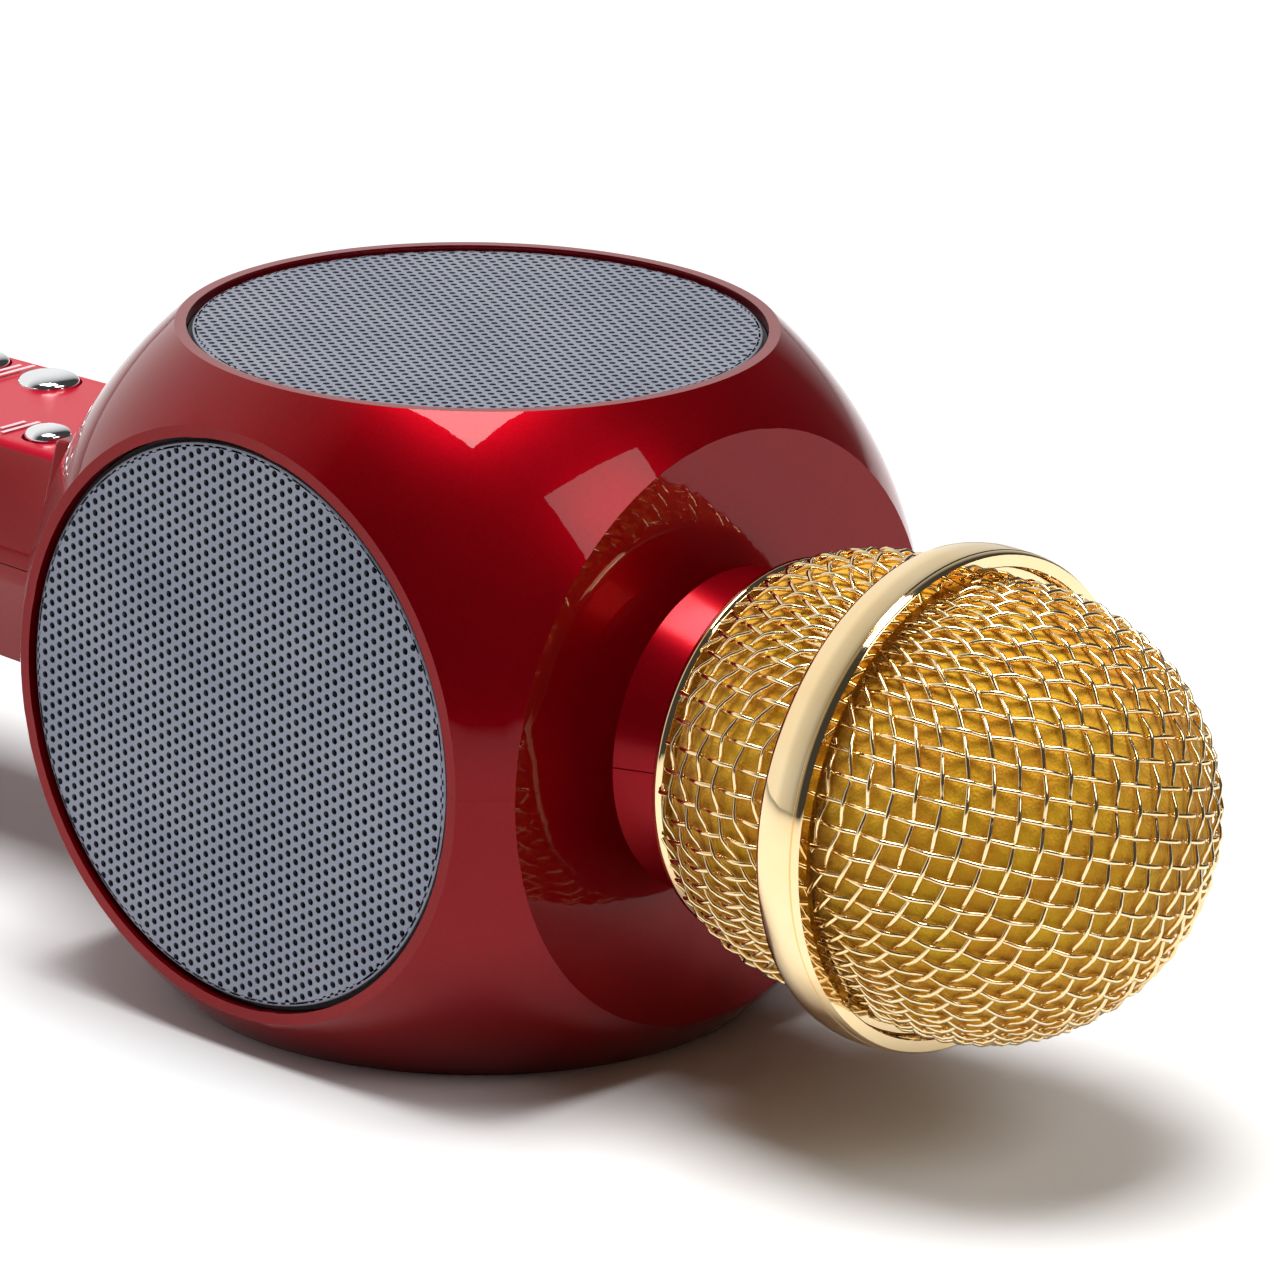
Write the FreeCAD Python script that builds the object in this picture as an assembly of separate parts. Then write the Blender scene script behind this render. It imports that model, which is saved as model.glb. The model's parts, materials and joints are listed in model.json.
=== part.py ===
"""Wireless karaoke microphone: a ball head on a round-faced speaker cube with a six-sided handle.

Units are millimetres. Every piece is modelled about the microphone's own axis, which runs along X
through the middle of the cube, with the ball head at +X and the handle at -X. export() then moves
each piece, so that the origin of the finished part is under the middle of its length, in the plane
of the round face that it rests on, with +Z up.
"""

import FreeCAD, Part

import math
import os

from FreeCAD import Placement, Rotation, Vector

# ---------------------------------------------------------------- driving dimensions

CUBE_HALF = 41.0            # middle of the cube to each of its six flat round faces
FACE_R = 36.2               # radius of those flat faces
WALL = 2.3                  # moulded wall of the rounded corners
FACE_WALL = 3.6             # wall behind the flat faces
SEAM_GAP = 0.12             # open line between the upper and lower mouldings
RIM_ROUND = 0.5             # round on the rim of each face

RECESS_R = 34.8             # seat of a grille
RECESS_DEPTH = 2.2
SOUND_HOLE_R = 30.0
GRILLE_R = 34.1
GRILLE_T = 0.8
GRILLE_SUNK = 0.5           # grille's front below the rim
GASKET_IN_R = 30.6

FRAME_TOP = CUBE_HALF - FACE_WALL        # flange of a driver or radiator, inside the face
FRAME_R = 32.0
FRAME_IN = 26.2
FLOOR_FRONT = 24.0          # floor of a driver's basket, from the middle of the cube
CONE_R = 22.4
CONE_FRONT = 35.5
CONE_BACK = 26.6
MAGNET_R = 16.0
MAGNET_BACK = 13.6
MAGNET_FRONT = 20.6
PLATE_R = 15.2
PLATE_FRONT = 22.4
YOKE_BACK = 11.2
GAP_R = 7.4
POLE_R = 5.8
COIL_R = 6.9
COIL_BACK = 15.8
COIL_T = 0.5

COLLAR_R0 = 19.7            # neck collar at the cube
COLLAR_R1 = 16.8            # neck collar at the head
COLLAR_END = 49.3
NECK_BORE_R = 12.6

HEAD_BASE_X = 49.8          # underside of the ball head
HEAD_BASE_R = 22.9
BASKET_MID_X = 64.2         # middle of the rear basket's sphere
BASKET_R = 26.6
BAND_X0 = 71.8
BAND_X1 = 78.3
BAND_R = 30.0
BAND_LIP_R = 27.9           # inner edge of the band's front lip
BAND_SEAT = 1.8             # the dome's edge sits this far behind the lip
DOME_MID_X = 81.3           # middle of the front dome's sphere
DOME_R = 27.1
MESH_T = 0.7                # thickness taken up by the woven wire
FOAM_T = 4.0
FOAM_GAP = 0.3
THREAD_R = 14.3
THREAD_CLEARANCE = 0.3
THREAD_END = 56.3
HOLDER_R = NECK_BORE_R - 1.6
CAPSULE_R = 11.0
CAPSULE_X0 = 62.0
CAPSULE_FRONT = 73.8
LEAD_R = 0.7

HANDLE_X0 = -56.5           # front of the grip, behind its flange
HANDLE_X1 = -166.0          # end of the handle
GRIP_FRONT = (13.7, 14.5, 18.2)   # half flat, half height, half width of the six-sided section
GRIP_REAR = (12.3, 12.9, 16.2)
GRIP_WALL = 1.7
GRIP_EDGE_ROUND = 0.7
GRIP_SIDE_ROUND = 9.0
FLANGE = (16.0, 17.6, 21.0)
FLANGE_T = 3.2
FLANGE_ROUND = 0.8
STEM = (14.6, 15.4, 18.6)
SPIGOT_R = 14.0
SPIGOT_BORE_R = 9.0

PANEL_T = 0.8
PANEL_X0 = -58.0
PANEL_X1 = -132.0
BUTTON_GAP = 0.12
BUTTON_RISE = 0.4           # edge of a button's cap above the panel
DOME_RISE = 1.0             # crown of a button's cap above its edge
FLANGE_BELOW = 1.9          # top of a button's flange below the panel's top
BOARD_TOP = 5.0             # circuit board below the panel's top
BOARD_T = 1.0
BOARD_X0 = -63.2
BOARD_X1 = -161.0
BOARD_HALF = 10.5
CONNECTOR_X1 = -60.7
# processor, radio, amplifier and charger: x, y, half length, half width
CHIPS = [(-101.6, 0.0, 3.4, 3.4), (-87.5, 0.0, 2.5, 2.5),
         (-147.0, -4.0, 3.4, 2.7), (-152.0, 5.0, 2.3, 2.3)]

BATTERY_R = 9.1
BATTERY_X0 = -65.0
BATTERY_L = 65.0
BATTERY_Z = -2.15

END_CAP_T = 2.5
END_CAP_ROUND = 0.6
PORT_Z = 1.0
USB = (-7.6, 7.6, 2.6)      # y of its middle, width, height of the opening
JACK_Y = 5.8
JACK_R = 1.8
JACK_DEPTH = 14.8
CARD_Z = -6.2

# name: (x, y, cap radius)
BUTTONS = {
    "power_button": (-65.5, -8.8, 3.0),
    "mode_button": (-65.5, 8.8, 3.0),
    "mic_down_button": (-83.0, -8.5, 4.0),
    "mic_up_button": (-83.0, 8.5, 4.0),
    "echo_down_button": (-96.0, -8.5, 4.0),
    "echo_up_button": (-96.0, 8.5, 4.0),
    "previous_button": (-110.0, -8.6, 2.4),
    "play_button": (-110.0, 0.0, 4.0),
    "next_button": (-110.0, 8.6, 2.4),
}
LED = (-121.0, 0.0, 1.5)

HANDLE_SCREWS = [(-61.0, -9.5), (-61.0, 9.5), (-134.5, -7.5), (-134.5, 7.5)]
CUBE_SCREWS = [(-23.0, -23.0), (-23.0, 23.0), (23.0, -23.0), (23.0, 23.0)]
BOSS_R = 3.0
HEAD_R = 1.9                # screw heads
HEAD_H = 1.4
HEAD_SUNK = 1.8             # handle screws' heads below the grip's underside
HANDLE_POST_R = 3.2
FRONT_POST_TOP = 8.0        # the front posts end under the circuit board
SHANK_R = 1.08
PILOT_R = 1.1
CLEAR_R = 1.3

# where each of the four sound openings looks
SIDES = {"top": Vector(0, 0, 1), "bottom": Vector(0, 0, -1),
         "left": Vector(0, 1, 0), "right": Vector(0, -1, 0)}
DRIVER_SIDES = ("left", "right")
RADIATOR_SIDES = ("top", "bottom")

MOVE = Vector(-(HANDLE_X1 + DOME_MID_X + DOME_R) / 2, 0, CUBE_HALF)     # from the axis to the origin
SPHERE_R = math.hypot(CUBE_HALF, FACE_R)
LEDGE = RECESS_DEPTH - CUBE_HALF         # seat of the bottom grille, from the axis
BIG = 400.0
X_AXIS = Vector(1, 0, 0)


# ---------------------------------------------------------------- helpers

class Bend(tuple):
    """The middle point of an arc between the points before and after it in an outline."""


def outline_face(points):
    """A flat face in the XY plane from corner points, with arcs where a Bend stands between two of them."""
    edges = []
    corners = [i for i, p in enumerate(points) if not isinstance(p, Bend)]
    for n, i in enumerate(corners):
        j = corners[(n + 1) % len(corners)]
        start = Vector(*points[i], 0)
        end = Vector(*points[j], 0)
        between = points[i + 1] if (i + 1) % len(points) != j and i + 1 < len(points) else None
        if isinstance(between, Bend):
            edges.append(Part.Arc(start, Vector(*between, 0), end).toShape())
        else:
            edges.append(Part.LineSegment(start, end).toShape())
    return Part.Face(Part.Wire(edges))


def turned(points):
    """A solid of revolution about the X axis from an outline of (x, radius) points."""
    return outline_face(points).revolve(Vector(0, 0, 0), X_AXIS, 360)


def rod(x0, x1, r):
    """A plain cylinder along X."""
    return Part.makeCylinder(r, x1 - x0, Vector(x0, 0, 0), X_AXIS)


def tube(x0, x1, r_out, r_in):
    return rod(x0, x1, r_out).cut(rod(x0 - 1, x1 + 1, r_in))


def block(x0, x1, y0, y1, z0, z1):
    return Part.makeBox(x1 - x0, y1 - y0, z1 - z0, Vector(x0, y0, z0))


def post(x, y, z0, z1, r):
    """A plain cylinder along Z."""
    return Part.makeCylinder(r, z1 - z0, Vector(x, y, z0))


def aimed(shape, direction):
    """Turns a shape modelled along +X to look along direction, about the cube's middle."""
    turnedshape = shape.copy()
    turnedshape.Placement = Placement(Vector(0, 0, 0), Rotation(X_AXIS, direction)).multiply(shape.Placement)
    return turnedshape


def sphere_arc(mid_x, r, x0, x1):
    """Start, middle and end points, on the upper side of a sphere about the X axis, between x0 and x1."""
    a0 = math.acos((x0 - mid_x) / r)
    a1 = math.acos(min(1.0, (x1 - mid_x) / r))
    am = (a0 + a1) / 2
    return [(mid_x + r * math.cos(a), r * math.sin(a)) for a in (a0, am, a1)]


def six_sided(x, section):
    """The outline of the handle's section at x: flat top and bottom, and sides that lean out to the seam."""
    flat, height, width = section
    corners = [(flat, height), (width, 0), (flat, -height), (-flat, -height), (-width, 0), (-flat, height)]
    points = [Vector(x, y, z) for y, z in corners]
    return Part.makePolygon(points + points[:1])


def grip_section(x):
    """The grip's section at x, between its front and rear ones."""
    share = (HANDLE_X0 - x) / (HANDLE_X0 - HANDLE_X1)
    return tuple(a + (b - a) * share for a, b in zip(GRIP_FRONT, GRIP_REAR))


def shrunk(section, by):
    flat, height, width = section
    return (flat - 0.75 * by, height - by, width - 1.1 * by)


def six_sided_solid(x0, x1, section0, section1, edge_round=0.0, side_round=0.0):
    """A six-sided bar from x0 to x1, with its long edges rounded."""
    bar = Part.makeLoft([six_sided(x0, section0), six_sided(x1, section1)], True, True)
    long_edges = [e for e in bar.Edges if e.BoundBox.XLength > 0.9 * abs(x1 - x0)]
    side_edges = [e for e in long_edges if abs(e.CenterOfMass.z) < 0.01]
    flat_edges = [e for e in long_edges if abs(e.CenterOfMass.z) > 1.0]
    if side_round:
        bar = bar.makeFillet(side_round, side_edges)
        long_edges = [e for e in bar.Edges if e.BoundBox.XLength > 0.9 * abs(x1 - x0)]
        top = max(abs(e.CenterOfMass.z) for e in long_edges)
        flat_edges = [e for e in long_edges if abs(e.CenterOfMass.z) > top - 0.1]
    if edge_round:
        bar = bar.makeFillet(edge_round, flat_edges)
    return bar


def fused(shapes):
    whole = shapes[0]
    for shape in shapes[1:]:
        whole = whole.fuse(shape)
    return whole.removeSplitter()


def half(shape, upper):
    """The part of a moulding above or below the seam."""
    gap = SEAM_GAP / 2
    side = block(-BIG, BIG, -BIG, BIG, gap, BIG) if upper else block(-BIG, BIG, -BIG, BIG, -BIG, -gap)
    return shape.common(side)


# the panel's top leans down towards the end of the handle
LEAN = math.atan((GRIP_FRONT[1] - GRIP_REAR[1]) / (HANDLE_X0 - HANDLE_X1))
PANEL_PLACE = Placement(Vector(HANDLE_X0, 0, GRIP_FRONT[1]), Rotation(Vector(0, 1, 0), -math.degrees(LEAN)))


def on_panel(shape):
    """Moves a shape from the panel's own frame, with x as on the handle and z up from the panel's top."""
    placed = shape.copy()
    placed.translate(Vector(-HANDLE_X0, 0, 0))
    placed.Placement = PANEL_PLACE.multiply(placed.Placement)
    return placed


# ---------------------------------------------------------------- speaker cube

def cube_moulding():
    """Both cube halves in one: a hollow sphere with six flat faces, its openings, collar and seats."""
    size = 2 * CUBE_HALF
    outer = Part.makeSphere(SPHERE_R).common(block(*([-CUBE_HALF, CUBE_HALF] * 3)))
    circles = [e for e in outer.Edges if isinstance(e.Curve, Part.Circle)]
    rims = [e for e in circles if abs(e.Curve.Radius - FACE_R) < 0.01]
    outer = outer.makeFillet(RIM_ROUND, rims)
    inner_half = CUBE_HALF - FACE_WALL
    inner = Part.makeSphere(SPHERE_R - WALL).common(block(*([-inner_half, inner_half] * 3)))
    shell = outer.cut(inner)
    shell = shell.fuse(collar())
    for direction in SIDES.values():
        seat = rod(CUBE_HALF - RECESS_DEPTH, size, RECESS_R)
        hole = rod(inner_half - 1, size, SOUND_HOLE_R)
        shell = shell.cut(aimed(seat, direction)).cut(aimed(hole, direction))
    shell = shell.cut(rod(inner_half - 1, COLLAR_END + 1, NECK_BORE_R))
    shell = shell.cut(rod(-size, -inner_half + 1, SPIGOT_R))
    for x, y in CUBE_SCREWS:
        shell = shell.fuse(post(x, y, LEDGE, inner_half + 0.5, BOSS_R)).cut(cube_screw_hole(x, y))
    return shell.removeSplitter()


def collar():
    """The collar that narrows from the cube to the ball head."""
    return turned([(CUBE_HALF - 0.5, 0), (CUBE_HALF - 0.5, COLLAR_R0), (CUBE_HALF, COLLAR_R0),
                   (COLLAR_END, COLLAR_R1), (COLLAR_END, 0)])


def cube_screw_hole(x, y):
    """Stepped hole from the seat of the bottom grille up into the upper half's post."""
    return fused([post(x, y, LEDGE - 1, LEDGE + HEAD_H, HEAD_R + 0.15), post(x, y, LEDGE, 0, CLEAR_R),
                  post(x, y, -0.5, 7.0, PILOT_R)])


def grille(direction):
    """A pressed steel disc with a folded edge, which carries the sound holes."""
    front = CUBE_HALF - GRILLE_SUNK
    back = CUBE_HALF - RECESS_DEPTH + 0.8
    fold_in = GRILLE_R - GRILLE_T
    disc = turned([(front - GRILLE_T, 0), (front - GRILLE_T, fold_in), (back, fold_in), (back, GRILLE_R),
                   (front - 0.3, GRILLE_R), Bend((front - 0.09, GRILLE_R - 0.09)),
                   (front, GRILLE_R - 0.3), (front, 0)])
    return aimed(disc, direction)


def gasket(direction):
    """The black foam ring between the grille and its seat."""
    seat = CUBE_HALF - RECESS_DEPTH
    return aimed(tube(seat, seat + 0.8, RECESS_R - 0.1, GASKET_IN_R), direction)


# ---------------------------------------------------------------- drivers and passive radiators

def driver_frame(direction):
    """Pressed basket: a flange, a windowed cone and a floor that holds the magnet."""
    top = FRAME_TOP
    inner_floor = FLOOR_FRONT - 0.6
    basket = turned([(top, FRAME_R), (top, FRAME_IN), (top - 1.2, FRAME_IN), (FLOOR_FRONT + 0.2, 15.6),
                     (inner_floor, 15.6), (inner_floor, GAP_R + 1.6), (PLATE_FRONT, GAP_R + 1.6),
                     (PLATE_FRONT, 16.4), (FLOOR_FRONT, 16.9), (top - 1.2, FRAME_IN + 1.4),
                     (top - 1.2, FRAME_R)])
    for turn in range(4):
        window = block(25.2, top - 3.5, 12, 40, -7, 7)
        window.rotate(Vector(0, 0, 0), X_AXIS, 45 + 90 * turn)
        basket = basket.cut(window)
    side = direction.y
    y0, y1 = sorted((side * PLATE_FRONT, side * FLOOR_FRONT))
    terminal = block(-19.4, -13.0, y0, y1, 5.0, 9.0)
    return aimed(basket, direction).fuse(terminal).removeSplitter()


def magnet(direction):
    return aimed(tube(MAGNET_BACK, MAGNET_FRONT, MAGNET_R, GAP_R + 1.2), direction)


def yoke(direction):
    """Steel back plate with its pole, and the top plate that closes the magnet's gap."""
    back = fused([rod(YOKE_BACK, MAGNET_BACK, PLATE_R), rod(YOKE_BACK, PLATE_FRONT - 0.2, POLE_R)])
    top_plate = tube(MAGNET_FRONT, PLATE_FRONT, PLATE_R, GAP_R)
    return Part.makeCompound([aimed(back, direction), aimed(top_plate, direction)])


def voice_coil(direction):
    return aimed(tube(COIL_BACK, CONE_BACK, COIL_R, COIL_R - COIL_T), direction)


def cap_arc(base, tip_x):
    """Middle point of the arc from base to the axis at tip_x, on a sphere whose middle is on the axis."""
    height = tip_x - base[0]
    r = (base[1] ** 2 + height ** 2) / (2 * height)
    return sphere_arc(tip_x - r, r, base[0], tip_x)[1]


def cone(direction):
    """One-piece cone with a round dust cap, glued to the voice coil."""
    inner_base = (CONE_BACK, COIL_R - COIL_T)
    outer_base = (CONE_BACK + 0.9, COIL_R + 0.3)
    rim = CONE_FRONT - 0.6
    cap_tip = CONE_BACK + 4.0
    cap_inside = cap_tip - 0.6
    shape = turned([inner_base, (CONE_BACK, COIL_R + 0.2), (rim, CONE_R - 0.9), (rim, CONE_R),
                    (CONE_FRONT, CONE_R), (CONE_FRONT, CONE_R - 1.2), outer_base,
                    Bend(cap_arc(outer_base, cap_tip)), (cap_tip, 0), (cap_inside, 0),
                    Bend(cap_arc(inner_base, cap_inside))])
    return aimed(shape, direction)


def surround(direction):
    """Half-round rubber roll between the edge of a cone or disc and its frame."""
    middle = (CONE_R + FRAME_IN) / 2
    roll = turned([(34.9, CONE_R), (35.4, CONE_R), Bend((37.1, middle)), (36.9, FRAME_IN), (36.4, FRAME_IN),
                   Bend((36.6, middle))])
    return aimed(roll, direction)


def radiator_frame(direction):
    """Moulded ring of a passive radiator, notched round the cube's screw posts."""
    top = FRAME_TOP
    ring = aimed(turned([(top, FRAME_R), (top, FRAME_IN), (top - 3.4, FRAME_IN), (top - 3.4, FRAME_IN + 1.6),
                         (top - 1.4, FRAME_IN + 1.6), (top - 1.4, FRAME_R)]), direction)
    for x, y in CUBE_SCREWS:
        ring = ring.cut(post(x, y, -CUBE_HALF, CUBE_HALF, BOSS_R + 0.3))
    return ring


def radiator_disc(direction):
    """Flat diaphragm of a passive radiator with a steel tuning weight moulded into its back."""
    shape = turned([(33.6, 0), (33.6, 9.0), (34.0, 9.5), (35.0, 10.5), (35.0, CONE_R - 1.0), (34.6, CONE_R),
                    (35.4, CONE_R), (36.2, CONE_R - 1.4), (36.2, 0)])
    return aimed(shape, direction)


# ---------------------------------------------------------------- ball head

def mesh_zone(mid_x, r, x0, x1, thickness):
    """A spherical zone of the given thickness, for one of the woven wire cups."""
    start, middle, end = sphere_arc(mid_x, r, x0, x1)
    i_start, i_middle, i_end = sphere_arc(mid_x, r - thickness, x0, x1)
    return turned([start, Bend(middle), end, i_end, Bend(i_middle), i_start])


def basket_mesh():
    return mesh_zone(BASKET_MID_X, BASKET_R, HEAD_BASE_X + 1.4, BAND_X0 + 0.6, MESH_T)


def dome_mesh():
    """The front cup: most of a sphere, closed at the tip."""
    x0 = BAND_X1 - BAND_SEAT
    start, middle, tip = sphere_arc(DOME_MID_X, DOME_R, x0, DOME_MID_X + DOME_R)
    i_start, i_middle, i_tip = sphere_arc(DOME_MID_X, DOME_R - MESH_T, x0, DOME_MID_X + DOME_R - MESH_T)
    return turned([start, Bend(middle), tip, i_tip, Bend(i_middle), i_start])


def head_base():
    """Turned brass base of the ball: a rim for the basket and a sleeve that screws onto the neck."""
    x0 = HEAD_BASE_X
    bore = THREAD_R + THREAD_CLEARANCE
    return turned([(x0, bore), (x0, HEAD_BASE_R - 0.5), Bend((x0 + 0.15, HEAD_BASE_R - 0.15)),
                   (x0 + 0.5, HEAD_BASE_R), (x0 + 0.9, HEAD_BASE_R), (x0 + 1.4, HEAD_BASE_R - 0.3),
                   (x0 + 1.4, bore + 1.6),
                   (THREAD_END + 0.6, bore + 1.6), (THREAD_END + 0.6, bore)])


def head_band():
    """The polished band that joins the two wire cups, with a flat front lip round the dome."""
    x0, x1 = BAND_X0, BAND_X1
    middle = (x0 + x1) / 2
    seat = x1 - BAND_SEAT
    edge = BAND_R - 0.3
    basket_edge = math.sqrt((BASKET_R - MESH_T) ** 2 - (x0 + 0.6 - BASKET_MID_X) ** 2)
    inner = basket_edge - 0.9
    outside_basket = math.sqrt(BASKET_R ** 2 - (x0 - BASKET_MID_X) ** 2) + 0.05
    outside_dome = math.sqrt(DOME_R ** 2 - (seat + 0.6 - DOME_MID_X) ** 2) + 0.05
    return turned([(x0, outside_basket), (x0, edge - 0.4), (x0 + 0.4, edge), Bend((middle, BAND_R)),
                   (x1 - 0.3, edge), (x1, edge - 0.3), (x1, BAND_LIP_R), (seat + 0.6, BAND_LIP_R - 0.2),
                   (seat + 0.6, outside_dome), (seat, outside_dome), (seat, inner), (x0 + 0.6, inner),
                   (x0 + 0.6, outside_basket)])


def windscreen():
    """Foam liner of the ball, open at the back for the capsule."""
    outer_r = BASKET_R - MESH_T - FOAM_GAP
    dome_r = DOME_R - MESH_T - FOAM_GAP
    x0 = HEAD_BASE_X + 3.0
    waist = BAND_X0 + 0.3
    b0, bm, b1 = sphere_arc(BASKET_MID_X, outer_r, x0, waist)
    lip = BAND_X1 - BAND_SEAT + 0.2
    d0, dm, tip = sphere_arc(DOME_MID_X, dome_r, lip, DOME_MID_X + dome_r)
    band_in = math.sqrt((BASKET_R - MESH_T) ** 2 - (BAND_X0 + 0.6 - BASKET_MID_X) ** 2) - 1.3
    i0, im, i_tip = sphere_arc(DOME_MID_X, dome_r - FOAM_T, lip, DOME_MID_X + dome_r - FOAM_T)
    k0, km, k1 = sphere_arc(BASKET_MID_X, outer_r - FOAM_T, x0, waist)
    return turned([b0, Bend(bm), b1, (waist, band_in), (lip, band_in), d0, Bend(dm), tip, i_tip, Bend(im),
                   (lip, i0[1]), k1, Bend(km), k0])


def thread_ring():
    """Zinc ring held by the two neck halves, with the thread that the head screws onto."""
    inner_wall = CUBE_HALF - FACE_WALL
    return turned([(inner_wall - 2.0, NECK_BORE_R - 1.6), (inner_wall - 2.0, NECK_BORE_R + 3.0),
                   (inner_wall, NECK_BORE_R + 3.0), (inner_wall, NECK_BORE_R), (COLLAR_END, NECK_BORE_R),
                   (COLLAR_END, THREAD_R - 0.6), (COLLAR_END + 0.6, THREAD_R), (THREAD_END - 0.6, THREAD_R),
                   (THREAD_END, THREAD_R - 0.6), (THREAD_END, NECK_BORE_R - 1.6)])


def head_gasket():
    """Rubber washer under the head, which comes up with it as it unscrews."""
    return tube(COLLAR_END, HEAD_BASE_X, COLLAR_R1 - 0.3, THREAD_R + 0.2)


def capsule_holder():
    """Rubber cup on a stem that cushions the capsule."""
    cup_r = CAPSULE_R + 1.6
    cup_end = CAPSULE_X0 + 10.0
    start = CUBE_HALF - 1.0
    return turned([(start, 7.0), (start, HOLDER_R), (THREAD_END + 0.5, HOLDER_R), (THREAD_END + 3.5, cup_r),
                   (cup_end, cup_r), (cup_end, CAPSULE_R), (CAPSULE_X0, CAPSULE_R), (CAPSULE_X0, 7.0)])


def mic_capsule():
    """Metal cartridge with a stepped front."""
    rim = CAPSULE_FRONT + 0.6
    return turned([(CAPSULE_X0, 0), (CAPSULE_X0, CAPSULE_R), (rim - 0.8, CAPSULE_R), (rim, CAPSULE_R - 0.8),
                   (rim, 8.6), (CAPSULE_FRONT, 8.4), (CAPSULE_FRONT, 0)])


# ---------------------------------------------------------------- handle

def grip_outer():
    return six_sided_solid(HANDLE_X1, HANDLE_X0, GRIP_REAR, GRIP_FRONT, GRIP_EDGE_ROUND, GRIP_SIDE_ROUND)


def grip_hollow():
    """The space inside the grip, from the end cap to behind the flange."""
    rear = shrunk(GRIP_REAR, GRIP_WALL)
    front = shrunk(GRIP_FRONT, GRIP_WALL)
    return six_sided_solid(HANDLE_X1 - 1, HANDLE_X0, rear, front, 0.0, GRIP_SIDE_ROUND - GRIP_WALL)


def panel_slab():
    """The layer of the grip's top that the control panel takes up."""
    return on_panel(block(PANEL_X1, PANEL_X0, -BIG, BIG, -PANEL_T, BIG))


def handle_front():
    """Flange, stem and the spigot that the cube halves clamp."""
    inside = CUBE_HALF - FACE_WALL
    flange_end = HANDLE_X0 + FLANGE_T
    flange = Part.makeLoft([six_sided(HANDLE_X0, FLANGE), six_sided(flange_end, FLANGE)], True, True)
    flange = flange.makeFillet(FLANGE_ROUND, flange.Edges)
    stem = Part.makeLoft([six_sided(flange_end, STEM), six_sided(-CUBE_HALF, STEM)], True, True)
    spigot = rod(-CUBE_HALF, -inside, SPIGOT_R)
    keeper = rod(-inside, -inside + 2.0, SPIGOT_R + 3.0)
    bore = rod(HANDLE_X0 - 5, -inside + 5, SPIGOT_BORE_R)
    return fused([flange, stem, spigot, keeper]).cut(bore)


def handle_moulding():
    """Both handle halves in one: hollow grip, front, screw posts and the holes of the panel."""
    shell = grip_outer().cut(grip_hollow())
    end_room = block(HANDLE_X1 - 1, HANDLE_X1 + END_CAP_T, -BIG, BIG, -BIG, BIG)
    shell = shell.cut(end_room).cut(panel_slab())
    shell = shell.fuse(handle_front())
    room = grip_outer()
    for x, y in HANDLE_SCREWS[:2]:
        web = block(x, HANDLE_X0, y - 1.5, y + 1.5, -CUBE_HALF, FRONT_POST_TOP)
        shell = shell.fuse(post(x, y, -CUBE_HALF, FRONT_POST_TOP, HANDLE_POST_R).fuse(web).common(room))
    for x, y in HANDLE_SCREWS[2:]:
        shell = shell.fuse(post(x, y, -CUBE_HALF, CUBE_HALF, HANDLE_POST_R).common(room))
    shell = shell.cut(panel_slab().cut(block(HANDLE_X0, BIG, -BIG, BIG, -BIG, BIG)))
    for x, y in HANDLE_SCREWS:
        shell = shell.cut(handle_screw_hole(x, y))
    for x, y, r in list(BUTTONS.values()) + [LED]:
        shell = shell.cut(on_panel(post(x, y, -6, 2, r + BUTTON_GAP)))
    return shell.removeSplitter()


def handle_screw_hole(x, y):
    """Stepped hole from the underside of the grip up into the upper half's post."""
    height = grip_section(x)[1]
    return fused([post(x, y, -CUBE_HALF, -height + HEAD_SUNK + HEAD_H, HEAD_R + 0.4),
                  post(x, y, -height, 0, CLEAR_R), post(x, y, -0.5, 6.0, PILOT_R)])


def control_panel():
    """Lacquered top plate with a round hole for each button and for the light."""
    plate = grip_outer().common(panel_slab())
    for x, y, r in list(BUTTONS.values()) + [LED]:
        plate = plate.cut(on_panel(post(x, y, -6, 2, r + BUTTON_GAP)))
    return plate


def button(x, y, r):
    """Chromed cap with a crowned top, a flange below the wall and a short stem over its switch."""
    crown_r = (r * r + DOME_RISE * DOME_RISE) / (2 * DOME_RISE)
    crown = Part.makeSphere(crown_r, Vector(x, y, BUTTON_RISE + DOME_RISE - crown_r))
    cap = post(x, y, -FLANGE_BELOW, BUTTON_RISE + DOME_RISE, r).common(crown)
    between_walls = block(-BIG, BIG, -10.4, 10.4, -BIG, BIG)
    flange = post(x, y, -FLANGE_BELOW - 0.6, -FLANGE_BELOW - 0.05, r + 0.6).common(between_walls)
    stem = post(x, y, -FLANGE_BELOW - 1.3, -FLANGE_BELOW - 0.3, 1.2)
    return on_panel(fused([cap, post(x, y, -FLANGE_BELOW - 0.3, 0, r), flange, stem]))


def status_light():
    x, y, r = LED
    crown = Part.makeSphere(4.0, Vector(x, y, 0.5 - 4.0))
    lens = post(x, y, -BOARD_TOP + 1.4, 1, r).common(crown.fuse(post(x, y, -BOARD_TOP, -0.5, r)))
    return on_panel(lens)


def main_board():
    """Circuit board with room for the rear screw posts."""
    board = block(BOARD_X1, BOARD_X0, -BOARD_HALF, BOARD_HALF, -BOARD_TOP - BOARD_T, -BOARD_TOP)
    for x, y in HANDLE_SCREWS[2:]:
        board = board.cut(post(x, y, -BOARD_TOP - 2, -BOARD_TOP + 1, HANDLE_POST_R + 0.4))
    return on_panel(board)


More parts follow.
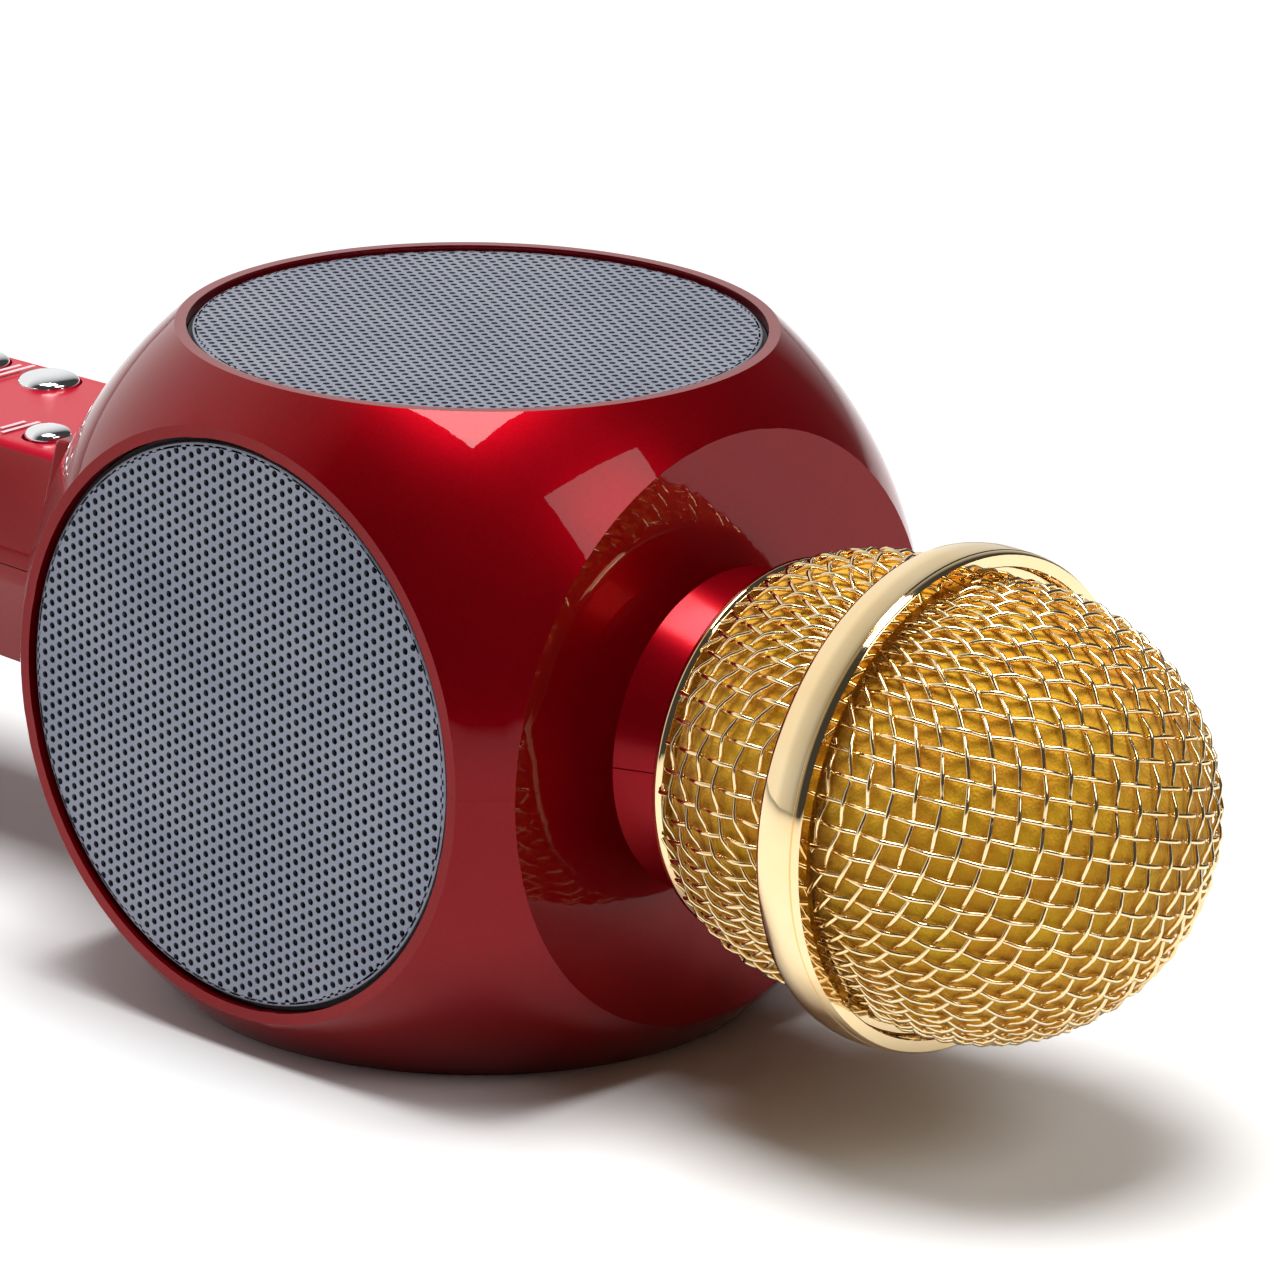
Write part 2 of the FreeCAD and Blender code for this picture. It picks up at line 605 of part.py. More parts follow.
def board_parts():
    """Switches under the buttons, the light, the chips, the leads' connector and six small parts."""
    top = -BOARD_TOP
    solids = []
    for x, y, r in BUTTONS.values():
        solids.append(block(x - 1.7, x + 1.7, y - 1.7, y + 1.7, top, top + 0.8))
        solids.append(post(x, y, top + 0.8, top + 1.2, 0.8))
    solids.append(post(LED[0], LED[1], top, top + 1.2, 1.2))
    for x, y, half_x, half_y in CHIPS:
        solids.append(block(x - half_x, x + half_x, y - half_y, y + half_y, top, top + 1.0))
    solids.append(block(BOARD_X0, CONNECTOR_X1, -5.0, 5.0, top - 1.6, top + 0.8))
    for n in range(6):
        x = -140.5 - 3 * n
        solids.append(block(x - 0.8, x + 0.8, 8.0, 9.2, top, top + 0.7))
    return Part.makeCompound([on_panel(s) for s in solids])


def button_pad():
    """Silicone sheet between the buttons' flanges and the board."""
    sheet = block(-114.5, BOARD_X0, -10.8, 10.8, -FLANGE_BELOW - 1.9, -FLANGE_BELOW - 1.35)
    for x, y, r in BUTTONS.values():
        sheet = sheet.cut(post(x, y, -10, 0, 1.7))
    return on_panel(sheet)


def battery():
    """Wrapped lithium cell with its raised positive end."""
    x0, x1 = BATTERY_X0 - BATTERY_L, BATTERY_X0
    cell = turned([(x0, 0), (x0, BATTERY_R - 0.8), (x0 + 0.8, BATTERY_R), (x1 - 1.8, BATTERY_R),
                   (x1 - 1.0, BATTERY_R - 0.8), (x1 - 1.0, 3.0), (x1, 3.0), (x1, 0)])
    cell.translate(Vector(0, 0, BATTERY_Z))
    return cell


def end_cap():
    """Closing plate of the handle with its three ports and a lip inside the grip."""
    outer = grip_outer().common(block(HANDLE_X1, HANDLE_X1 + END_CAP_T, -BIG, BIG, -BIG, BIG))
    rim = [e for e in outer.Edges if abs(e.BoundBox.XMax - HANDLE_X1) < 0.01]
    outer = outer.makeFillet(END_CAP_ROUND, rim)
    inner = shrunk(grip_section(HANDLE_X1 + 4), GRIP_WALL + 0.15)
    lip = six_sided_solid(HANDLE_X1 + END_CAP_T - 0.2, HANDLE_X1 + END_CAP_T + 2.0, inner, inner)
    hollow = shrunk(inner, 1.2)
    lip_hollow = six_sided_solid(HANDLE_X1 + END_CAP_T, HANDLE_X1 + END_CAP_T + 3.0, hollow, hollow)
    cap = outer.fuse(lip.common(grip_hollow())).cut(lip_hollow)
    y, width, height = USB
    cap = cap.cut(block(HANDLE_X1 - 1, HANDLE_X1 + 4, y - width / 2 - 0.6, y + width / 2 + 0.6,
                        PORT_Z - height / 2 - 0.6, PORT_Z + height / 2 + 0.6))
    cap = cap.cut(Part.makeCylinder(3.1, 5, Vector(HANDLE_X1 - 1, JACK_Y, PORT_Z), X_AXIS))
    card_slot = block(HANDLE_X1 - 1, HANDLE_X1 + 4, -6.2, 6.2, CARD_Z - 0.9, CARD_Z + 0.9)
    return cap.cut(card_slot).removeSplitter()


def usb_socket():
    """Folded steel charging socket."""
    y, width, height = USB
    x0, x1 = HANDLE_X1 + 0.8, HANDLE_X1 + 7.0
    outer = block(x0, x1, y - width / 2, y + width / 2, PORT_Z - height / 2, PORT_Z + height / 2)
    hollow = block(x0 - 1, x1 - 0.6, y - width / 2 + 0.35, y + width / 2 - 0.35, PORT_Z - height / 2 + 0.35,
                   PORT_Z + height / 2 - 0.35)
    tongue = block(x0 + 0.8, x1 - 0.3, y - 1.8, y + 1.8, PORT_Z + 0.1, PORT_Z + 0.6)
    return outer.cut(hollow).fuse(tongue)


def audio_jack():
    """Black 3.5 mm socket with its round nose in the end cap."""
    face = HANDLE_X1 + 0.3
    nose = Part.makeCylinder(3.0, END_CAP_T, Vector(face, JACK_Y, PORT_Z), X_AXIS)
    back = face + END_CAP_T
    body = block(back, back + 13.6, JACK_Y - 3.0, JACK_Y + 3.0, PORT_Z - 2.6, PORT_Z + 2.6)
    bore = Part.makeCylinder(JACK_R, JACK_DEPTH + 1, Vector(face - 1, JACK_Y, PORT_Z), X_AXIS)
    return nose.fuse(body).cut(bore)


def card_socket():
    """Flat steel memory card socket, open at the handle's end."""
    x0, x1 = HANDLE_X1 + END_CAP_T, HANDLE_X1 + 17.0
    outer = block(x0, x1, -5.8, 5.8, CARD_Z - 0.85, CARD_Z + 0.85)
    return outer.cut(block(x0 - 1, x1 - 1.0, -5.5, 5.5, CARD_Z - 0.5, CARD_Z + 0.5))


def screw(x, y, under_head, tip):
    """Self-tapping screw that points up, with a cross in its head."""
    head = post(x, y, under_head - HEAD_H, under_head, HEAD_R)
    low = under_head - HEAD_H - 1
    high = under_head - HEAD_H + 0.8
    across = block(x - 1.1, x + 1.1, y - 0.22, y + 0.22, low, high)
    along = block(x - 0.22, x + 0.22, y - 1.1, y + 1.1, low, high)
    return head.fuse(post(x, y, under_head, tip, SHANK_R)).cut(across).cut(along)


def shell_screws():
    """The handle's four screws and the cube's four, which the bottom grille's ring covers."""
    handle = [screw(x, y, HEAD_SUNK + HEAD_H - grip_section(x)[1], 5.0) for x, y in HANDLE_SCREWS]
    cube = [screw(x, y, LEDGE + HEAD_H, 6.0) for x, y in CUBE_SCREWS]
    return Part.makeCompound(handle + cube)


# ---------------------------------------------------------------- wiring

def wire(points, r):
    """A lead through points, straight between them, with tangent arcs as large as the runs allow."""
    pts = [Vector(*p) for p in points]
    edges = []
    last = pts[0]
    for a, b, c in zip(pts, pts[1:], pts[2:]):
        u = (a - b).normalize()
        v = (c - b).normalize()
        turn = math.pi - u.getAngle(v)
        reach = 0.45 * min(a.distanceToPoint(b), b.distanceToPoint(c))
        radius = reach / math.tan(turn / 2)
        start = b + u * reach
        end = b + v * reach
        bisector = (u + v).normalize()
        middle = b + bisector * (radius / math.cos(turn / 2) - radius)
        edges.append(Part.LineSegment(last, start).toShape())
        edges.append(Part.Arc(start, middle, end).toShape())
        last = end
        print(f"wire bend radius {radius:.1f} mm")
    edges.append(Part.LineSegment(last, pts[-1]).toShape())
    path = Part.Wire(edges)
    direction = (pts[1] - pts[0]).normalize()
    profile = Part.Wire(Part.makeCircle(r, pts[0], direction))
    solid = path.makePipeShell([profile], True, True)
    expected = math.pi * r * r * path.Length
    print(f"wire volume {solid.Volume:.1f} of {expected:.1f} mm3")
    return solid


def inner_leads():
    """Leads from the board's connector to the capsule and to both drivers, through the spigot's bore."""
    start = CONNECTOR_X1 + 0.3
    capsule_lead = [(start, 0, 8.8), (-50, 0.5, 5.8), (-36, 1.5, 3.5), (-16, 1.0, 1.0), (10, -0.5, 0.3),
                    (36, 0.3, 0.5), (CAPSULE_X0 - 0.05, 0, 0)]
    leads = [wire(capsule_lead, LEAD_R)]
    for side in (-1, 1):
        driver_lead = [(start, 2.5 * side, 8.6), (-50, 3.5 * side, 5.5), (-36, 5.4 * side, 4.2),
                       (-27.5, 10.5 * side, 5.0), (-22, 16.5 * side, 6.5), (-17, 22.0 * side, 7.0)]
        leads.append(wire(driver_lead, LEAD_R))
    return Part.makeCompound(leads)


# ---------------------------------------------------------------- all nodes

def all_nodes():
    nodes = {}
    cube = cube_moulding()
    nodes["cube_upper_shell"] = half(cube, True)
    nodes["cube_lower_shell"] = half(cube, False)
    handle = handle_moulding()
    nodes["handle_upper_shell"] = half(handle, True)
    nodes["handle_lower_shell"] = half(handle, False)
    for side, direction in SIDES.items():
        nodes[f"{side}_grille"] = grille(direction)
        nodes[f"{side}_gasket"] = gasket(direction)
        nodes[f"{side}_surround"] = surround(direction)
    for side in DRIVER_SIDES:
        direction = SIDES[side]
        nodes[f"{side}_driver_frame"] = driver_frame(direction)
        nodes[f"{side}_magnet"] = magnet(direction)
        nodes[f"{side}_yoke"] = yoke(direction)
        nodes[f"{side}_voice_coil"] = voice_coil(direction)
        nodes[f"{side}_cone"] = cone(direction)
    for side in RADIATOR_SIDES:
        nodes[f"{side}_radiator_frame"] = radiator_frame(SIDES[side])
        nodes[f"{side}_radiator_disc"] = radiator_disc(SIDES[side])
    nodes["thread_ring"] = thread_ring()
    nodes["capsule_holder"] = capsule_holder()
    nodes["mic_capsule"] = mic_capsule()
    nodes["head_gasket"] = head_gasket()
    nodes["head_base"] = head_base()
    nodes["basket_mesh"] = basket_mesh()
    nodes["head_band"] = head_band()
    nodes["dome_mesh"] = dome_mesh()
    nodes["windscreen"] = windscreen()
    nodes["control_panel"] = control_panel()
    for name, (x, y, r) in BUTTONS.items():
        nodes[name] = button(x, y, r)
    nodes["status_light"] = status_light()
    nodes["button_pad"] = button_pad()
    nodes["main_board"] = main_board()
    nodes["board_parts"] = board_parts()
    nodes["battery"] = battery()
    nodes["end_cap"] = end_cap()
    nodes["usb_socket"] = usb_socket()
    nodes["audio_jack"] = audio_jack()
    nodes["card_socket"] = card_socket()
    nodes["shell_screws"] = shell_screws()
    nodes["inner_leads"] = inner_leads()
    return nodes


def export(nodes):
    os.makedirs("parts", exist_ok=True)
    for name, shape in nodes.items():
        lifted = shape.copy()
        lifted.translate(MOVE)
        lifted.exportStep(f"parts/{name}.step")
        closed = all(s.isClosed() and s.isValid() for s in lifted.Solids)
        state = "closed and valid" if closed else "NOT CLOSED OR VALID"
        print(f"{name}: {len(lifted.Solids)} solids, {lifted.Volume:.0f} mm3, {state}")


export(all_nodes())
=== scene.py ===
import json
import math

import bmesh
import bpy
from mathutils import Matrix, Vector


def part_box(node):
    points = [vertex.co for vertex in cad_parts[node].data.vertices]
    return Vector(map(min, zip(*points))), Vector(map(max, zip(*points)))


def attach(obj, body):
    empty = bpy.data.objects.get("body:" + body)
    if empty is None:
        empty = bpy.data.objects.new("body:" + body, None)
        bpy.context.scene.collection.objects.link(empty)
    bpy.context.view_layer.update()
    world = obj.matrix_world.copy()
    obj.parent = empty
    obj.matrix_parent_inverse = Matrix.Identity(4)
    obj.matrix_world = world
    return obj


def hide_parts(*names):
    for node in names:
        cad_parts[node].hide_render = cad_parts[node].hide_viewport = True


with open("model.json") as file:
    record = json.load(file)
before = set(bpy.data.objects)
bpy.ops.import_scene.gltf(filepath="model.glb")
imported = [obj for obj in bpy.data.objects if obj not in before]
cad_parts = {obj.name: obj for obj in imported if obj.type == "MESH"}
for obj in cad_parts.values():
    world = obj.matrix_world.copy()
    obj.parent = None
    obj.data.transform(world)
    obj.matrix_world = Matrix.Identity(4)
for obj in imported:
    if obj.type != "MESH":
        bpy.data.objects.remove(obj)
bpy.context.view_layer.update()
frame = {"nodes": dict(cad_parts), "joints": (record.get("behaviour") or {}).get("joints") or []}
MM = 0.001


# ---- Speaker body --------------------------------------------------------------------------------
# Two injection-moulded shells in metallic red lacquer under clear coat, which meet in a seam at mid
# height. The outside is a ball cut by six flat round faces, and four of them are recessed for grilles.

side_low, side_high = (Vector(corner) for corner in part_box("left_grille"))
MID = Vector(((side_low.x + side_high.x) / 2, 0, (side_low.z + side_high.z) / 2))
cube_half = MID.z
face_r = 36.2 * MM
seat_r = 34.8 * MM
seat_depth = 2.2 * MM
sound_hole_r = 30.0 * MM
neck_hole_r = 12.6 * MM
spigot_hole_r = 14.0 * MM
skin = 0.6 * MM
seam_gap = 0.06 * MM
edge_round = 0.22 * MM
near_middle = 4 * MM
AXES = {"front": Vector((1, 0, 0)), "back": Vector((-1, 0, 0)), "left": Vector((0, 1, 0)),
        "right": Vector((0, -1, 0)), "top": Vector((0, 0, 1)), "bottom": Vector((0, 0, -1))}


def deselect():
    bpy.ops.object.select_all(action="DESELECT")


def alone(piece):
    """Selects one piece and makes it the active one."""
    deselect()
    piece.select_set(True)
    bpy.context.view_layer.objects.active = piece


def edit(piece):
    alone(piece)
    bpy.ops.object.mode_set(mode="EDIT")
    bpy.ops.mesh.select_all(action="DESELECT")


def leave_edit():
    bpy.ops.object.mode_set(mode="OBJECT")


def place(piece):
    """Puts a piece's own place and turn into its mesh."""
    alone(piece)
    bpy.ops.object.transform_apply(location=True, rotation=True, scale=True)


def pick_faces(piece, wanted):
    """Selects, in edit mode, the faces whose middle and normal the test accepts."""
    bpy.ops.mesh.select_mode(type="FACE")
    bpy.ops.mesh.select_all(action="DESELECT")
    mesh = bmesh.from_edit_mesh(piece.data)
    for face in mesh.faces:
        face.select_set(wanted(face.calc_center_median(), face.normal))
    mesh.select_flush_mode()
    bmesh.update_edit_mesh(piece.data)


def apply_all(piece):
    alone(piece)
    for modifier in list(piece.modifiers):
        bpy.ops.object.modifier_apply(modifier=modifier.name)


def soften(piece, radius=0.0, steps=3, angle=30):
    """Rounds the sharp edges and shades the rest smooth, with the flat faces kept flat."""
    if radius:
        bevel = piece.modifiers.new("edge round", "BEVEL")
        bevel.width = radius
        bevel.segments = steps
        bevel.limit_method = "ANGLE"
        bevel.angle_limit = math.radians(angle)
        apply_all(piece)
    alone(piece)
    bpy.ops.object.shade_smooth_by_angle(angle=math.radians(angle))
    weights = piece.modifiers.new("flat faces flat", "WEIGHTED_NORMAL")
    weights.keep_sharp = True
    weights.weight = 100
    apply_all(piece)


def material(name):
    """A new material and its node tree's parts that every finish starts from."""
    new = bpy.data.materials.new(name)
    new.use_nodes = True
    nodes = new.node_tree.nodes
    shader = nodes["Principled BSDF"]
    place_node = nodes.new("ShaderNodeTexCoord")
    return new, nodes, new.node_tree.links, shader, place_node.outputs["Object"]


def noise(nodes, links, coordinate, scale, detail=4.0, roughness=0.55):
    node = nodes.new("ShaderNodeTexNoise")
    node.inputs["Scale"].default_value = scale
    node.inputs["Detail"].default_value = detail
    node.inputs["Roughness"].default_value = roughness
    links.new(coordinate, node.inputs["Vector"])
    return node.outputs["Fac"]


def blend_colours(nodes, links, factor, first, second):
    node = nodes.new("ShaderNodeMix")
    node.data_type = "RGBA"
    links.new(factor, node.inputs["Factor"])
    node.inputs["A"].default_value = (*first, 1)
    node.inputs["B"].default_value = (*second, 1)
    return node.outputs["Result"]


def between(nodes, links, value, low, high, from_low=0.3, from_high=0.7):
    node = nodes.new("ShaderNodeMapRange")
    node.inputs["From Min"].default_value = from_low
    node.inputs["From Max"].default_value = from_high
    node.inputs["To Min"].default_value = low
    node.inputs["To Max"].default_value = high
    links.new(value, node.inputs["Value"])
    return node.outputs["Result"]


def relief(nodes, links, height, strength, distance, shader, socket="Normal"):
    node = nodes.new("ShaderNodeBump")
    node.inputs["Strength"].default_value = strength
    node.inputs["Distance"].default_value = distance
    links.new(height, node.inputs["Height"])
    links.new(node.outputs["Normal"], shader.inputs[socket])


def lacquer(name, colour, deep, metallic, coat_roughness, coat=1.0):
    """Flake lacquer: the flakes sparkle in the colour, and the clear coat has a faint orange peel."""
    new, nodes, links, shader, here = material(name)
    flakes = nodes.new("ShaderNodeTexVoronoi")
    flakes.inputs["Scale"].default_value = 5200
    links.new(here, flakes.inputs["Vector"])
    drift = noise(nodes, links, here, 28, 3)
    sparkle = between(nodes, links, flakes.outputs["Color"], 0.0, 1.0, 0.0, 1.0)
    mixed = nodes.new("ShaderNodeMath")
    mixed.operation = "MULTIPLY_ADD"
    mixed.inputs[1].default_value = 0.35
    links.new(sparkle, mixed.inputs[0])
    links.new(between(nodes, links, drift, 0.15, 0.5), mixed.inputs[2])
    links.new(blend_colours(nodes, links, mixed.outputs[0], deep, colour), shader.inputs["Base Color"])
    links.new(between(nodes, links, drift, 0.28, 0.36), shader.inputs["Roughness"])
    shader.inputs["Metallic"].default_value = metallic
    shader.inputs["Specular IOR Level"].default_value = 0.1
    shader.inputs["Specular Tint"].default_value = (0.7, 0.02, 0.03, 1)
    shader.inputs["Coat Weight"].default_value = coat
    shader.inputs["Coat Roughness"].default_value = coat_roughness
    shader.inputs["Coat IOR"].default_value = 1.27
    peel = noise(nodes, links, here, 420, 2)
    relief(nodes, links, peel, 0.02, 0.0002, shader, "Coat Normal")
    return new


red_lacquer = lacquer("candy_red_lacquer", (0.26, 0.0, 0.004), (0.13, 0.0, 0.002), 0.6, 0.02)

ball_r = math.hypot(cube_half, face_r)
deselect()
bpy.ops.mesh.primitive_uv_sphere_add(segments=160, ring_count=80, radius=ball_r, location=MID)
body = bpy.context.object
place(body)
edit(body)
for axis in AXES.values():
    bpy.ops.mesh.select_all(action="SELECT")
    bpy.ops.mesh.bisect(plane_co=MID + axis * cube_half, plane_no=axis, use_fill=True, clear_outer=True)


def ring_in(spot, share):
    """Draws the outline of the chosen disc in towards its middle, which leaves a flat ring round it."""
    bpy.ops.mesh.extrude_region_move(TRANSFORM_OT_translate={"value": (0, 0, 0)})
    bpy.ops.transform.resize(value=(share, share, share), center_override=spot)


for side, axis in AXES.items():
    face_middle = MID + axis * cube_half
    pick_faces(body, lambda middle, normal: (middle - face_middle).length < near_middle
               and normal.dot(axis) > 0.9)
    if side in ("front", "back"):
        bore = neck_hole_r if side == "front" else spigot_hole_r
        ring_in(face_middle, bore / face_r)
    else:
        ring_in(face_middle, seat_r / face_r)
        bpy.ops.mesh.extrude_region_move(TRANSFORM_OT_translate={"value": -axis * seat_depth})
        ring_in(face_middle - axis * seat_depth, sound_hole_r / seat_r)
    bpy.ops.mesh.delete(type="FACE")
leave_edit()

for name, up in (("cube_upper_shell", 1), ("cube_lower_shell", -1)):
    alone(body)
    bpy.ops.object.duplicate()
    shell = bpy.context.object
    shell.name = "lacquered_" + name
    edit(shell)
    bpy.ops.mesh.select_all(action="SELECT")
    bpy.ops.mesh.bisect(plane_co=MID + Vector((0, 0, up * seam_gap)), plane_no=(0, 0, -up), clear_outer=True)
    leave_edit()
    wall = shell.modifiers.new("wall", "SOLIDIFY")
    wall.thickness = skin
    wall.offset = -1
    apply_all(shell)
    soften(shell, edge_round, 3, 28)
    edit(shell)
    # the rounding can push a corner at the seam past a flat face, so such corners are put back
    mesh = bmesh.from_edit_mesh(shell.data)
    for axis in AXES.values():
        for corner in mesh.verts:
            past = (corner.co - MID).dot(axis) - cube_half
            if past > 0:
                corner.co -= axis * past
    bmesh.update_edit_mesh(shell.data)
    leave_edit()
    shell.data.materials.clear()
    shell.data.materials.append(red_lacquer)
    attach(shell, "housing")
    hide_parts(name)
bpy.data.objects.remove(body)


# ---- Neck collar ---------------------------------------------------------------------------------
# The short tapered neck that carries the ball head, lacquered a little less glossy than the body.
# It is moulded with the shells, so their seam runs on across it.

collar_r = 19.7 * MM
collar_mid_r = 17.9 * MM
collar_end_r = 16.8 * MM
collar_mid = cube_half + 4.5 * MM
collar_end = 49.3 * MM
collar_foot = cube_half - 0.3 * MM


def turned(name, outline, steps=128, axis=Vector((1, 0, 0)), origin=None):
    """A ring turned about an axis from a closed outline of (along the axis, radius) points."""
    start = MID if origin is None else origin
    across = Vector((0, 0, 1)) if abs(axis.z) < 0.9 else Vector((0, 1, 0))
    across = (across - axis * across.dot(axis)).normalized()
    profile = bpy.data.meshes.new(name)
    points = [start + axis * along + across * radius for along, radius in outline]
    joins = [(n, (n + 1) % len(points)) for n in range(len(points))]
    if outline[0][1] == 0 and outline[-1][1] == 0:
        joins.pop()
    profile.from_pydata(points, joins, [])
    piece = bpy.data.objects.new(name, profile)
    bpy.context.scene.collection.objects.link(piece)
    edit(piece)
    bpy.ops.mesh.select_all(action="SELECT")
    bpy.ops.mesh.spin(steps=steps, angle=2 * math.pi, center=start, axis=axis)
    bpy.ops.mesh.select_all(action="SELECT")
    bpy.ops.mesh.remove_doubles(threshold=1e-6)
    bpy.ops.mesh.normals_make_consistent(inside=False)
    leave_edit()
    return piece


collar_red = lacquer("satin_red_lacquer", (0.40, 0.001, 0.008), (0.22, 0.0, 0.004), 0.6, 0.16, 0.6)
for name, up in (("upper", 1), ("lower", -1)):
    collar = turned("neck_collar_" + name, [
        (collar_foot, neck_hole_r), (collar_foot, collar_r), (cube_half + 0.1 * MM, collar_r),
        (collar_mid, collar_mid_r), (collar_end - 0.5 * MM, collar_end_r + 0.1 * MM),
        (collar_end, collar_end_r - 0.3 * MM), (collar_end, neck_hole_r)])
    edit(collar)
    bpy.ops.mesh.select_all(action="SELECT")
    bpy.ops.mesh.bisect(plane_co=MID + Vector((0, 0, up * seam_gap)), plane_no=(0, 0, -up),
                        clear_outer=True, use_fill=True)
    leave_edit()
    soften(collar, 0.12 * MM, 2, 25)
    collar.data.materials.append(collar_red)
    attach(collar, "housing")


# ---- Grilles -------------------------------------------------------------------------------------
# Thin steel discs with staggered round holes, in silver-grey stoving paint. Each drops into its seat
# with a folded edge, on a black foam ring.

pitch = 1.44 * MM
hole_r = 0.43 * MM
sheet_r = 33.8 * MM
grille_r = 34.1 * MM
sheet_t = 0.5 * MM
grille_sunk = 0.5 * MM
fold_depth = 1.2 * MM
fold_lap = 0.25 * MM
merge_gap = 0.02 * MM
rows = 28
rim_flats = 96


def silver_paint():
    new, nodes, links, shader, here = material("silver_grille_paint")
    tone = noise(nodes, links, here, 60, 3)
    grain = noise(nodes, links, here, 5000, 2)
    links.new(blend_colours(nodes, links, between(nodes, links, tone, 0, 1), (0.19, 0.205, 0.26),
                            (0.24, 0.255, 0.31)), shader.inputs["Base Color"])
    links.new(between(nodes, links, grain, 0.34, 0.46), shader.inputs["Roughness"])
    shader.inputs["Metallic"].default_value = 0.5
    relief(nodes, links, grain, 0.08, 0.00003, shader)
    return new


def perforated_sheet():
    """A flat disc of six-sided cells, each with a round hole. Cells on the rim are cut to the circle."""
    deselect()
    bpy.ops.mesh.primitive_circle_add(vertices=6, radius=pitch / math.sqrt(3))
    sheet = bpy.context.object
    place(sheet)
    edit(sheet)
    bpy.ops.mesh.primitive_circle_add(vertices=12, radius=hole_r)
    bpy.ops.mesh.select_all(action="SELECT")
    bpy.ops.mesh.bridge_edge_loops()
    leave_edit()
    row_step = pitch * math.sqrt(3) / 2
    for count, step in ((4 * rows + 1, (pitch, 0, 0)), (2 * rows + 1, (pitch / 2, row_step, 0))):
        copies = sheet.modifiers.new("copies", "ARRAY")
        copies.count = count
        copies.use_relative_offset = False
        copies.use_constant_offset = True
        copies.constant_offset_displace = step
    apply_all(sheet)
    sheet.location = (-pitch * (2 * rows + rows / 2), -row_step * rows, 0)
    place(sheet)
    edit(sheet)
    bpy.ops.mesh.select_all(action="SELECT")
    bpy.ops.mesh.remove_doubles(threshold=merge_gap)
    pick_faces(sheet, lambda middle, normal: middle.to_2d().length > sheet_r + pitch)
    bpy.ops.mesh.delete(type="FACE")
    for n in range(rim_flats):
        turn = 2 * math.pi * n / rim_flats
        outward = Vector((math.cos(turn), math.sin(turn), 0))
        pick_faces(sheet, lambda middle, normal: middle.dot(outward) > sheet_r - pitch)
        bpy.ops.mesh.bisect(plane_co=outward * sheet_r, plane_no=outward, clear_outer=True)
    bpy.ops.mesh.select_all(action="SELECT")
    bpy.ops.mesh.remove_doubles(threshold=merge_gap)
    bpy.ops.mesh.dissolve_degenerate(threshold=0.01 * MM)
    bpy.ops.mesh.normals_make_consistent(inside=False)
    leave_edit()
    return sheet


grille_paint = silver_paint()
flat_sheet = perforated_sheet()
# the way each grille faces, and the way its rows of holes run
for side, rows_along in (("top", AXES["left"]), ("bottom", AXES["left"]), ("left", AXES["top"]),
                         ("right", AXES["top"])):
    outward = AXES[side]
    alone(flat_sheet)
    bpy.ops.object.duplicate()
    grille = bpy.context.object
    grille.name = "perforated_" + side + "_grille"
    across = outward.cross(rows_along)
    turn = Matrix((rows_along, across, outward)).transposed().to_4x4()
    grille.matrix_world = Matrix.Translation(MID + outward * (cube_half - grille_sunk)) @ turn
    place(grille)
    edit(grille)
    bpy.ops.mesh.select_all(action="SELECT")
    bpy.ops.mesh.normals_make_consistent(inside=False)
    leave_edit()
    if grille.data.polygons[0].normal.dot(outward) < 0:
        edit(grille)
        bpy.ops.mesh.select_all(action="SELECT")
        bpy.ops.mesh.flip_normals()
        leave_edit()
    thick = grille.modifiers.new("sheet", "SOLIDIFY")
    thick.thickness = sheet_t
    thick.offset = -1
    apply_all(grille)
    front = cube_half - grille_sunk
    fold = turned(side + "_fold", [
        (front - fold_depth, sheet_r - 0.2 * MM), (front - fold_depth, grille_r),
        (front - 0.35 * MM, grille_r), (front - 0.12 * MM, grille_r - 0.08 * MM), (front, sheet_r),
        (front, sheet_r - fold_lap), (front - 0.3 * MM, sheet_r - fold_lap)], 128, outward)
    deselect()
    fold.select_set(True)
    grille.select_set(True)
    bpy.context.view_layer.objects.active = grille
    bpy.ops.object.join()
    bpy.ops.object.shade_smooth_by_angle(angle=math.radians(35))
    grille.data.materials.clear()
    grille.data.materials.append(grille_paint)
    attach(grille, "housing")
    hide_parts(side + "_grille")
bpy.data.objects.remove(flat_sheet)


# ---- Foam rings and everything behind the grilles ------------------------------------------------
# Loudspeakers left and right, weighted radiators top and bottom. They are the frame's own pieces, in
# the finishes of pressed steel, ferrite, enamelled wire, pulp, moulded plastic and rubber. The steel is
# coloured near black as painted shade, so the space behind the grilles reads dark.


def plain_finish(name, colour, second, roughness, metallic, grain_scale, grain, coat=0.0):
    """A finish that drifts between two tones, with a fine grain in its gloss and its surface."""
    new, nodes, links, shader, here = material(name)
    tone = noise(nodes, links, here, grain_scale / 12, 3)
    fine = noise(nodes, links, here, grain_scale, 4)
    links.new(blend_colours(nodes, links, between(nodes, links, tone, 0, 1), colour, second),
              shader.inputs["Base Color"])
    links.new(between(nodes, links, fine, roughness * 0.8, min(1, roughness * 1.2)),
              shader.inputs["Roughness"])
    shader.inputs["Metallic"].default_value = metallic
    shader.inputs["Coat Weight"].default_value = coat
    relief(nodes, links, fine, grain, 0.0001, shader)
    return new


def dress(finish, *nodes):
    """Gives the frame's own pieces their finish."""
    for node in nodes:
        piece = frame["nodes"][node]
        piece.data.materials.clear()
        piece.data.materials.append(finish)


